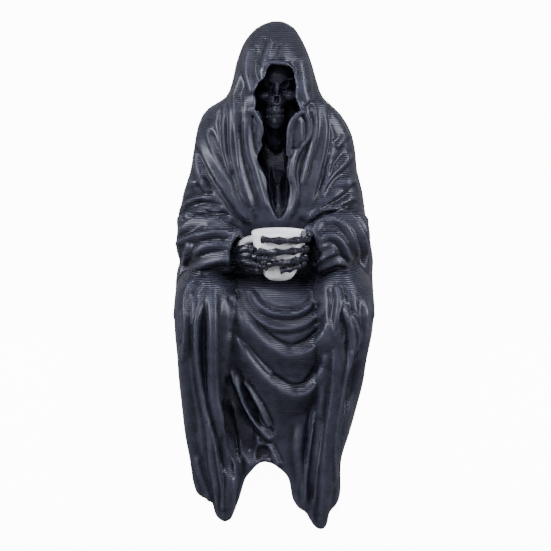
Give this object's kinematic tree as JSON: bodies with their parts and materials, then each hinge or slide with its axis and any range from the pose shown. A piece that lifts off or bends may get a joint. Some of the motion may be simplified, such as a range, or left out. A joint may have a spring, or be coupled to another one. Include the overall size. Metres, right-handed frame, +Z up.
{
  "type": "grim reaper figurine",
  "caption": "Seated hooded skeleton in a folded robe holding a small cup in both bony hands; sits on the front edge of a shelf with its hem hanging over.",
  "frame": {"origin": "on the flat seat under the figure, at the shelf's front edge, half way across the width", "axes": "+X to the viewer's right, -Y towards the viewer (the figure faces -Y), +Z up"},
  "size_m": [0.0823, 0.0802, 0.2008],
  "materials": {
    "black_print": "satin, with fine printed layers",
    "white_print": "satin, with fine printed layers"
  },
  "bodies": {
    "root": {"robed_figure": "black_print", "cup": "white_print"}
  },
  "joints": []
}
